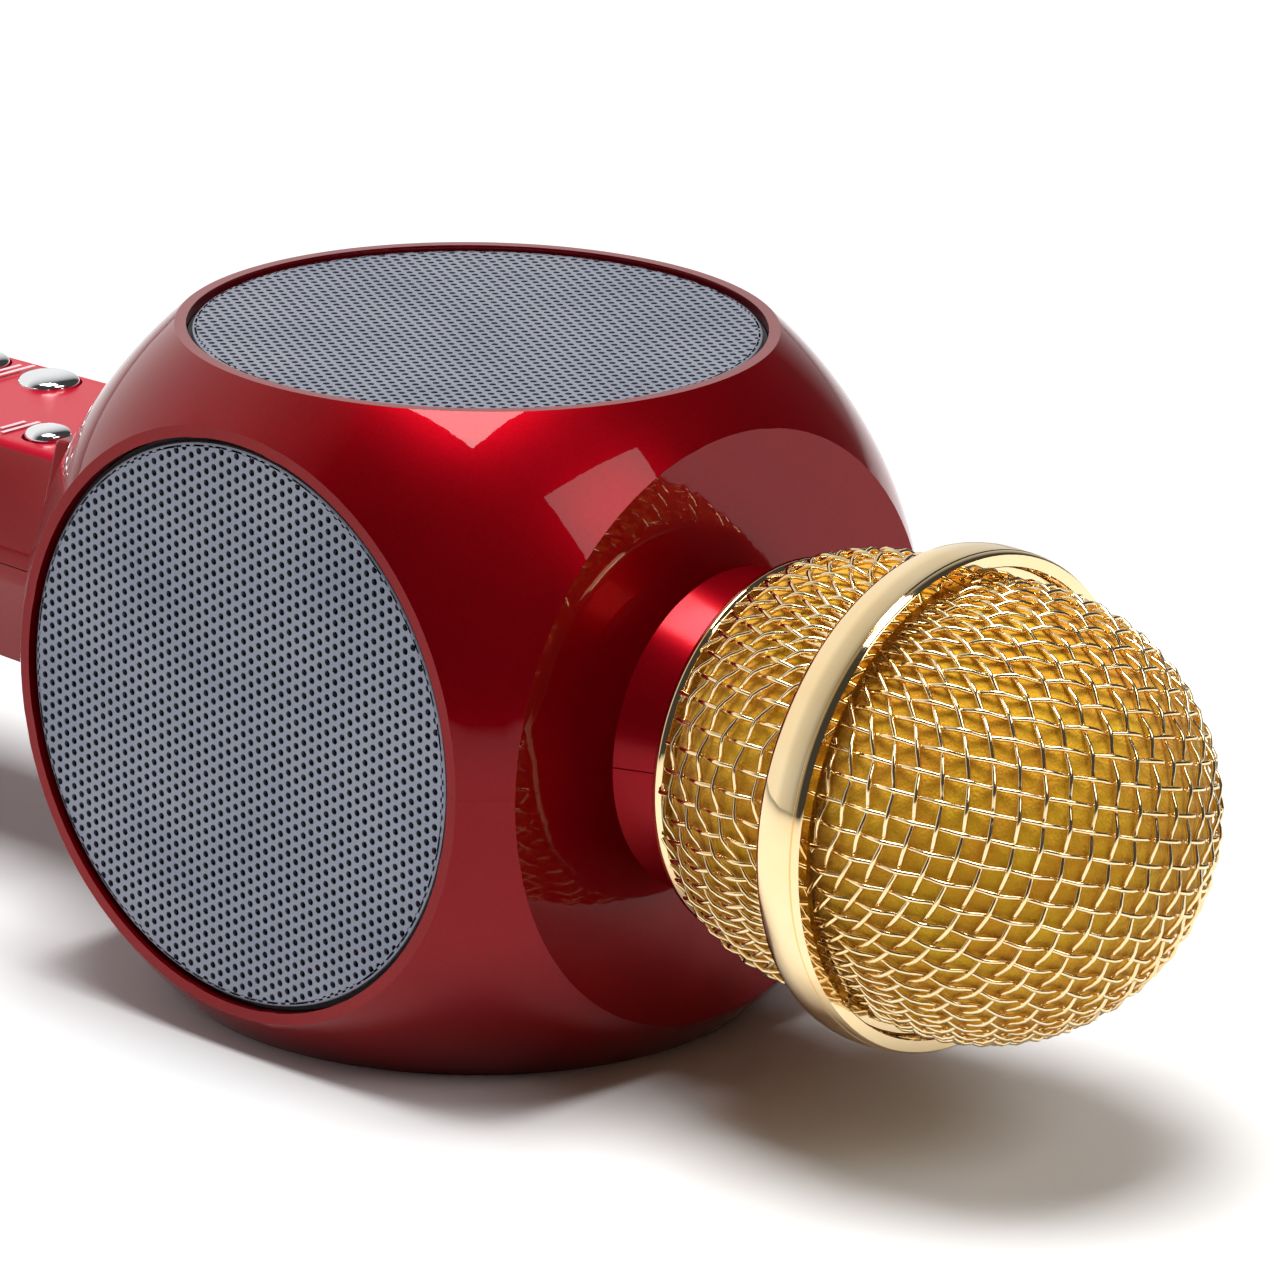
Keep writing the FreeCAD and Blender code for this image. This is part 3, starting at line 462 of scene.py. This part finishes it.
black_foam = plain_finish("black_foam", (0.012, 0.012, 0.013), (0.025, 0.025, 0.027), 0.95, 0, 2600, 0.9)
black_rubber = plain_finish("black_rubber", (0.014, 0.014, 0.015), (0.024, 0.024, 0.026), 0.5, 0, 1500, 0.15)
black_plastic = plain_finish("black_plastic", (0.02, 0.02, 0.021), (0.03, 0.03, 0.032), 0.45, 0, 2400, 0.3)
# painted shade: the steel frames and yokes are coloured near black, not steel, so the space behind the
# grilles looks dark
steel_darkened_as_painted_shade = plain_finish("pressed_steel_darkened_as_painted_shade", (0.03, 0.03, 0.032), (0.05, 0.05, 0.055),
                           0.4, 0.3, 1200, 0.1)
ferrite = plain_finish("ferrite", (0.05, 0.05, 0.055), (0.08, 0.08, 0.085), 0.6, 0.2, 1800, 0.4)
zinc = plain_finish("die_cast_zinc", (0.42, 0.42, 0.44), (0.52, 0.52, 0.54), 0.4, 0.9, 1600, 0.2)
copper = plain_finish("enamelled_wire", (0.55, 0.22, 0.08), (0.70, 0.30, 0.12), 0.3, 0.9, 3000, 0.4)
pulp = plain_finish("pressed_pulp", (0.018, 0.018, 0.02), (0.035, 0.035, 0.038), 0.85, 0, 1400, 0.8)
capsule_metal = plain_finish("drawn_metal", (0.55, 0.55, 0.56), (0.66, 0.66, 0.67), 0.35, 1.0, 1500, 0.1)
for side in ("top", "bottom", "left", "right"):
    dress(black_foam, side + "_gasket")
    dress(black_rubber, side + "_surround")
for side in ("left", "right"):
    # near-black steel here is painted shade for the shade inside the body
    dress(steel_darkened_as_painted_shade, side + "_driver_frame", side + "_yoke")
    dress(ferrite, side + "_magnet")
    dress(copper, side + "_voice_coil")
    dress(pulp, side + "_cone")
for side in ("top", "bottom"):
    dress(black_plastic, side + "_radiator_frame", side + "_radiator_disc")
dress(zinc, "thread_ring")
dress(black_rubber, "capsule_holder", "head_gasket")
dress(capsule_metal, "mic_capsule")


# ---- Ball head: rim and band ---------------------------------------------------------------------
# Turned brass under polished gold plate. The rim closes the basket at the neck, and the band joins the
# two wire cups. The band has a fine groove near its front and a flat front lip over the dome's edge.

head_x = 49.8 * MM
head_r = 22.9 * MM
rim_t = 1.5 * MM
thread_bore = 14.6 * MM
thread_wall = 1.6 * MM
thread_l = 7.1 * MM
band_x0 = 71.8 * MM
band_x1 = 78.3 * MM
band_r = 30.0 * MM
lip_r = 27.9 * MM


def gold(name, roughness, colour, second):
    new, nodes, links, shader, here = material(name)
    tone = noise(nodes, links, here, 90, 3)
    haze = noise(nodes, links, here, 1400, 5)
    links.new(blend_colours(nodes, links, between(nodes, links, tone, 0, 1), colour, second),
              shader.inputs["Base Color"])
    links.new(between(nodes, links, haze, roughness * 0.7, roughness * 1.5), shader.inputs["Roughness"])
    shader.inputs["Metallic"].default_value = 1.0
    relief(nodes, links, haze, 0.02, 0.00002, shader)
    return new


polished_gold = gold("polished_gold_plate", 0.05, (0.94, 0.70, 0.38), (0.97, 0.78, 0.48))
rim = turned("gold_head_rim", [
    (head_x, thread_bore), (head_x, head_r - 0.4 * MM), (head_x + 0.4 * MM, head_r),
    (head_x + 1.0 * MM, head_r), (head_x + rim_t, head_r - 0.4 * MM),
    (head_x + rim_t, thread_bore + thread_wall), (head_x + thread_l, thread_bore + thread_wall),
    (head_x + thread_l, thread_bore)])
soften(rim, 0.12 * MM, 3)
rim.data.materials.append(polished_gold)
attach(rim, "ball_head")
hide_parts("head_base")

band_back_r = 26.1 * MM
band_in = 25.4 * MM
pocket_x = 76.5 * MM
band = turned("gold_head_band", [
    (band_x0, band_back_r), (band_x0, band_r - 0.9 * MM), (band_x0 + 0.25 * MM, band_r - 0.5 * MM),
    (band_x0 + 0.7 * MM, band_r - 0.3 * MM), (band_x0 + 1.6 * MM, band_r - 0.12 * MM),
    (band_x0 + 2.6 * MM, band_r - 0.02 * MM), (band_x0 + 3.4 * MM, band_r - 0.02 * MM),
    (band_x1 - 1.7 * MM, band_r - 0.1 * MM), (band_x1 - 1.1 * MM, band_r - 0.2 * MM),
    (band_x1 - 1.0 * MM, band_r - 0.45 * MM), (band_x1 - 0.85 * MM, band_r - 0.25 * MM),
    (band_x1 - 0.25 * MM, band_r - 0.35 * MM), (band_x1, band_r - 0.6 * MM),
    (band_x1, lip_r + 0.15 * MM), (band_x1 - 0.15 * MM, lip_r), (pocket_x + 0.4 * MM, lip_r),
    (pocket_x, lip_r - 0.3 * MM), (pocket_x, band_in), (band_x0 + 0.6 * MM, band_in)])
soften(band, 0.0, 3, 40)
band.data.materials.append(polished_gold)
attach(band, "ball_head")
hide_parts("head_band")


# ---- Ball head: wire cups ------------------------------------------------------------------------
# Square cloth of crimped, gold-plated steel wire, pressed over a ball. The wires don't stretch, so each
# cell keeps the length of its sides and leans over between the two main directions.

wire_r = 0.3 * MM
cell = 2.95 * MM
crimp = 0.34 * MM
cloth_turn = math.radians(-16)
cells_out = 19
basket_mid = 64.2 * MM
basket_wire_r = 25.95 * MM
basket_from = 51.2 * MM
basket_to = 74.5 * MM
dome_mid = 81.3 * MM
dome_wire_r = 26.45 * MM
dome_from = 76.9 * MM
dome_to = 110 * MM
widest_shear = 1.75         # product of the two distances, in radians, past which the cloth would fold


def cloth_crossings(step):
    """Unit directions of the crossings, with the middle of the cloth at +X."""
    net = {}
    for n in range(-cells_out, cells_out + 1):
        net[n, 0] = Vector((math.cos(n * step), math.sin(n * step), 0))
        net[0, n] = Vector((math.cos(n * step), 0, math.sin(n * step)))
    for a in (1, -1):
        for b in (1, -1):
            for i in range(1, cells_out + 1):
                for j in range(1, cells_out + 1):
                    if i * j * step * step > widest_shear:
                        break
                    beside = net[i * a, (j - 1) * b]
                    above = net[(i - 1) * a, j * b] if ((i - 1) * a, j * b) in net else None
                    if above is None:
                        break
                    middle = (beside + above).normalized()
                    last = net[(i - 1) * a, (j - 1) * b]
                    net[i * a, j * b] = 2 * middle.dot(last) * middle - last
    return net


def wire_path(net, keys, sign, mid, radius, facing):
    """Points along one wire, which rises over and dips under the wires it crosses."""
    path = []
    spread, lean = math.cos(cloth_turn), math.sin(cloth_turn)
    for first, second in zip(keys, keys[1:]):
        height = sign * crimp * (1 if sum(first) % 2 else -1)
        for third in range(3):
            share = third / 3
            way = net[first].lerp(net[second], share).normalized()
            lift = radius + height * math.cos(math.pi * share)
            turned_way = Vector((way.x * facing, way.y * spread - way.z * lean,
                                 way.y * lean + way.z * spread))
            path.append(mid + turned_way * lift)
    return path


def wire_cup(name, mid_x, radius, facing, low_x, high_x):
    """The cloth's wires over one ball, as far as they lie between the two places on the axis."""
    net = cloth_crossings(cell / radius)
    mid = MID + Vector((mid_x, 0, 0))
    curve = bpy.data.curves.new(name, "CURVE")
    curve.dimensions = "3D"
    curve.bevel_depth = wire_r
    curve.bevel_resolution = 1
    curve.use_fill_caps = True
    span = range(-cells_out, cells_out + 1)
    wires = [([(i, j) for i in span], 1) for j in span]
    wires += [([(i, j) for j in span], -1) for i in span]
    for keys, sign in wires:
        keys = [key for key in keys if key in net]
        run = []
        for point in wire_path(net, keys, sign, mid, radius, facing) + [None]:
            inside = point is not None and low_x <= point.x - MID.x <= high_x
            if inside:
                run.append(point)
            elif len(run) > 2:
                wire = curve.splines.new("POLY")
                wire.points.add(len(run) - 1)
                for knot, place_on in zip(wire.points, run):
                    knot.co = (*place_on, 1)
                run = []
            else:
                run = []
    cup = bpy.data.objects.new(name, curve)
    bpy.context.scene.collection.objects.link(cup)
    alone(cup)
    bpy.ops.object.convert(target="MESH")
    cup = bpy.context.object
    bpy.ops.object.shade_smooth()
    return cup


wire_gold = gold("gold_plated_wire", 0.14, (0.92, 0.68, 0.34), (0.98, 0.80, 0.48))
for name, mid_x, radius, facing, low_x, high_x in (
        ("basket_mesh", basket_mid, basket_wire_r, -1, basket_from, basket_to),
        ("dome_mesh", dome_mid, dome_wire_r, 1, dome_from, dome_to)):
    cup = wire_cup("woven_" + name, mid_x, radius, facing, low_x, high_x)
    cup.data.materials.append(wire_gold)
    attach(cup, "ball_head")
    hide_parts(name)


# ---- Ball head: foam -----------------------------------------------------------------------------
# A moulded liner of open golden-yellow foam, which lines the ball behind the wire and stops wind noise.
# It is pushed in from the neck and held by its own spring.


def yellow_foam():
    new, nodes, links, shader, here = material("golden_foam")
    cells = nodes.new("ShaderNodeTexVoronoi")
    cells.inputs["Scale"].default_value = 2600
    links.new(here, cells.inputs["Vector"])
    patches = noise(nodes, links, here, 170, 4)
    links.new(blend_colours(nodes, links, between(nodes, links, patches, 0, 1), (0.66, 0.30, 0.006),
                            (0.70, 0.42, 0.006)), shader.inputs["Base Color"])
    shader.inputs["Roughness"].default_value = 0.95
    shader.inputs["Sheen Weight"].default_value = 0.2
    relief(nodes, links, cells.outputs["Distance"], 0.6, 0.00025, shader)
    return new


def arc(mid_x, radius, from_x, to_x, count):
    """Points of an outline along a ball, from one place on the axis to another."""
    first = math.acos(max(-1, min(1, (from_x - mid_x) / radius)))
    last = math.acos(max(-1, min(1, (to_x - mid_x) / radius)))
    turns = [first + (last - first) * n / count for n in range(count + 1)]
    return [(mid_x + radius * math.cos(t), max(0, radius * math.sin(t))) for t in turns]


foam_t = 4.0 * MM
foam_basket_r = 25.2 * MM
foam_dome_r = 25.7 * MM
foam_foot = 53.0 * MM
foam_foot_r = 18.2 * MM
basket_end = 73.5 * MM
basket_end_inside = 72.0 * MM
dome_start = 78.0 * MM
outside = arc(basket_mid, foam_basket_r, foam_foot, basket_end, 12)
outside += arc(dome_mid, foam_dome_r, dome_start, dome_mid + foam_dome_r, 24)
inside = arc(dome_mid, foam_dome_r - foam_t, dome_mid + foam_dome_r - foam_t, dome_start, 16)
inside += arc(basket_mid, foam_basket_r - foam_t, basket_end_inside, foam_foot, 10)
liner = turned("foam_windscreen", [(foam_foot, foam_foot_r)] + outside + inside, 96)
liner.data.materials.append(yellow_foam())
alone(liner)
bpy.ops.object.shade_smooth_by_angle(angle=math.radians(40))
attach(liner, "ball_head")
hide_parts("windscreen")


# ---- Handle --------------------------------------------------------------------------------------
# Two long mouldings in the same lacquer, six-sided, with a flange against the body and a plate that
# closes the end. Their edges are those of the frame, merged and shaded as one surface.


def bare_copy(node, name):
    """A copy of one of the frame's pieces with its loose triangles joined."""
    source = frame["nodes"][node]
    copy = bpy.data.objects.new(name, source.data.copy())
    bpy.context.scene.collection.objects.link(copy)
    edit(copy)
    bpy.ops.mesh.select_all(action="SELECT")
    bpy.ops.mesh.remove_doubles(threshold=1e-6)
    leave_edit()
    soften(copy)
    copy.data.materials.clear()
    return copy


for node in ("handle_upper_shell", "handle_lower_shell", "end_cap"):
    half = bare_copy(node, "lacquered_" + node)
    half.data.materials.append(red_lacquer)
    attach(half, "housing")
    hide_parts(node)

panel_red = lacquer("bright_red_panel_lacquer", (0.52, 0.003, 0.025), (0.42, 0.002, 0.018), 0.1, 0.12, 0.3)
panel = bare_copy("control_panel", "printed_control_panel")
panel.data.materials.append(panel_red)
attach(panel, "housing")
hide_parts("control_panel")


# ---- Buttons -------------------------------------------------------------------------------------
# Chrome-plated caps with a crowned top and a rolled edge. Each stands in its own hole in the panel and
# moves straight down.

# radius of each cap in millimetres
BUTTONS = {"power_button": 3.0, "mode_button": 3.0, "mic_down_button": 4.0, "mic_up_button": 4.0,
           "echo_down_button": 4.0, "echo_up_button": 4.0, "previous_button": 2.4, "play_button": 4.0,
           "next_button": 2.4}
cap_rise = 1.4 * MM
cap_skirt = 2.4 * MM
cap_fullness = 2.6          # 2 would be an ellipse; more is flatter on top and rounder at the edge
crown_steps = 14
press_axis = next(Vector(joint["axis"]) for joint in frame["joints"] if joint["child"] == "power_button")
panel_up = -press_axis.normalized()


def chrome():
    new, nodes, links, shader, here = material("chrome_plate")
    haze = noise(nodes, links, here, 900, 4)
    tone = noise(nodes, links, here, 120, 2)
    links.new(blend_colours(nodes, links, between(nodes, links, tone, 0, 1), (0.80, 0.81, 0.83),
                            (0.88, 0.88, 0.89)), shader.inputs["Base Color"])
    links.new(between(nodes, links, haze, 0.05, 0.13), shader.inputs["Roughness"])
    shader.inputs["Metallic"].default_value = 1.0
    relief(nodes, links, haze, 0.02, 0.00002, shader)
    return new


def button_top(node):
    """The middle of a button's crown, from its box: the crown is its highest point."""
    low, high = (Vector(corner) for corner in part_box(node))
    return Vector(((low.x + high.x) / 2, (low.y + high.y) / 2, high.z))


chrome_plate = chrome()
for node, radius_mm in BUTTONS.items():
    radius = radius_mm * MM
    top = button_top(node)
    foot = top - panel_up * cap_rise
    swing = [math.pi / 2 * n / crown_steps for n in range(crown_steps)]
    crown = [(cap_rise * math.cos(t) ** (2 / cap_fullness), radius * math.sin(t) ** (2 / cap_fullness))
             for t in swing]
    outline = crown + [(0, radius), (-cap_skirt, radius), (-cap_skirt, 0)]
    cap = turned("chrome_" + node, outline, 48, panel_up, foot)
    alone(cap)
    bpy.ops.object.shade_smooth_by_angle(angle=math.radians(40))
    cap.data.materials.append(chrome_plate)
    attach(cap, node)
    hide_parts(node)


# ---- Marks on the panel --------------------------------------------------------------------------
# Pale bars in screen ink on the lacquered panel: a long one and a shorter one behind each button, towards
# the handle's end.

ink, nodes, links, shader, here = material("pale_pink_ink")
wear = noise(nodes, links, here, 900, 3)
links.new(blend_colours(nodes, links, between(nodes, links, wear, 0, 1), (0.80, 0.42, 0.46),
                        (0.86, 0.55, 0.58)), shader.inputs["Base Color"])
shader.inputs["Roughness"].default_value = 0.5
ink_t = 0.04 * MM
mark_width = 0.6 * MM
# distance from the button's edge, and length
BARS = ((2.0 * MM, 6.4 * MM), (3.4 * MM, 4.2 * MM))
panel_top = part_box("control_panel")[1][2]
marks = []
for node, radius_mm in BUTTONS.items():
    crown = button_top(node)
    for gap, length in BARS:
        deselect()
        middle_x = crown.x - radius_mm * MM - gap
        bpy.ops.mesh.primitive_cube_add(size=1, location=(middle_x, crown.y, panel_top),
                                        scale=(mark_width, length, ink_t))
        place(bpy.context.object)
        marks.append(bpy.context.object)
deselect()
for mark in marks:
    mark.select_set(True)
bpy.context.view_layer.objects.active = marks[0]
bpy.ops.object.join()
marks[0].name = "printed_panel_marks"
marks[0].data.materials.append(ink)
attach(marks[0], "housing")


# ---- Rest of the handle's pieces -----------------------------------------------------------------
# The light, the silicone pad, the board and its parts, the cell, the sockets, the screws and the leads
# are the frame's own pieces.

dress(plain_finish("clear_lens", (0.75, 0.80, 0.85), (0.80, 0.84, 0.88), 0.12, 0, 800, 0.05, 0.5),
      "status_light")
dress(plain_finish("silicone", (0.60, 0.60, 0.60), (0.68, 0.68, 0.68), 0.6, 0, 1500, 0.1), "button_pad")
dress(plain_finish("solder_mask", (0.01, 0.12, 0.04), (0.015, 0.17, 0.06), 0.3, 0, 900, 0.1, 0.3),
      "main_board")
dress(black_plastic, "board_parts", "audio_jack")
dress(plain_finish("shrink_wrap", (0.05, 0.16, 0.42), (0.07, 0.20, 0.50), 0.28, 0, 700, 0.08, 0.4),
      "battery")
dress(plain_finish("nickel_plate", (0.58, 0.57, 0.55), (0.68, 0.67, 0.65), 0.25, 1.0, 1500, 0.05),
      "usb_socket", "card_socket")
dress(plain_finish("black_zinc", (0.05, 0.05, 0.055), (0.09, 0.09, 0.095), 0.35, 0.9, 1500, 0.1),
      "shell_screws")
dress(plain_finish("lead_insulation", (0.02, 0.02, 0.022), (0.035, 0.035, 0.038), 0.45, 0, 900, 0.05),
      "inner_leads")


# ---- Studio --------------------------------------------------------------------------------------
# A pale floor, a soft light overhead, a smaller one at the right, a sky that is bright only behind the
# handle, and a long lens, as for a catalogue picture.

floor_size = 8.0
deselect()
bpy.ops.mesh.primitive_plane_add(size=floor_size, location=(0, 0, 0))
floor = bpy.context.object
floor.name = "studio_floor"
pale, nodes, links, shader, here = material("pale_floor")
shader.inputs["Base Color"].default_value = (0.82, 0.82, 0.82, 1)
shader.inputs["Roughness"].default_value = 0.8
floor.data.materials.append(pale)


def soft_light(name, azimuth, elevation, distance, width, height, power):
    """A rectangular lamp that faces the body from a place given in degrees round it."""
    deselect()
    turn, rise = math.radians(azimuth), math.radians(elevation)
    way = Vector((math.sin(turn) * math.cos(rise), -math.cos(turn) * math.cos(rise), math.sin(rise)))
    bpy.ops.object.light_add(type="AREA", location=MID + way * distance)
    lamp = bpy.context.object
    lamp.name = name
    lamp.data.shape = "RECTANGLE"
    lamp.data.size = width
    lamp.data.size_y = height
    lamp.data.energy = power
    lamp.rotation_euler = way.to_track_quat("Z", "Y").to_euler()


soft_light("overhead_light", 0, 88, 1.6, 0.8, 0.8, 32)
soft_light("right_light", 95, 46, 1.2, 0.6, 0.45, 4)
world = bpy.data.worlds.new("studio")
bpy.context.scene.world = world
world.use_nodes = True
sky, sky_links = world.node_tree.nodes, world.node_tree.links
way_node = sky.new("ShaderNodeTexCoord")
parts = sky.new("ShaderNodeSeparateXYZ")
sky_links.new(way_node.outputs["Generated"], parts.inputs["Vector"])
sky_dim = 0.05
sky_bright = 1.0
glow = between(sky, sky_links, parts.outputs["X"], sky_dim, sky_bright, -0.2, -0.7)
sky_links.new(glow, sky["Background"].inputs["Strength"])
sky["Background"].inputs["Color"].default_value = (1, 1, 1, 1)
bpy.context.scene.view_settings.view_transform = "Standard"

view_turn = math.radians(42.123)
view_rise = math.radians(18.441)
view_tilt = math.radians(1.118)
view_distance = 975.03 * MM
lens_length = 226.7
aim = Vector((20.121, 1.142)) * MM
back = Vector((math.sin(view_turn) * math.cos(view_rise), -math.cos(view_turn) * math.cos(view_rise),
               math.sin(view_rise)))
level = Vector((0, 0, 1)).cross(back).normalized()
above = back.cross(level)
right = level * math.cos(view_tilt) + above * math.sin(view_tilt)
up = above * math.cos(view_tilt) - level * math.sin(view_tilt)
camera_data = bpy.data.cameras.new("camera")
camera_data.sensor_width = 36
camera_data.lens = lens_length
camera = bpy.data.objects.new("camera", camera_data)
bpy.context.scene.collection.objects.link(camera)
spot = MID + back * view_distance + right * aim.x + up * aim.y
camera.matrix_world = Matrix.Translation(spot) @ Matrix((right, up, back)).transposed().to_4x4()
bpy.context.scene.camera = camera
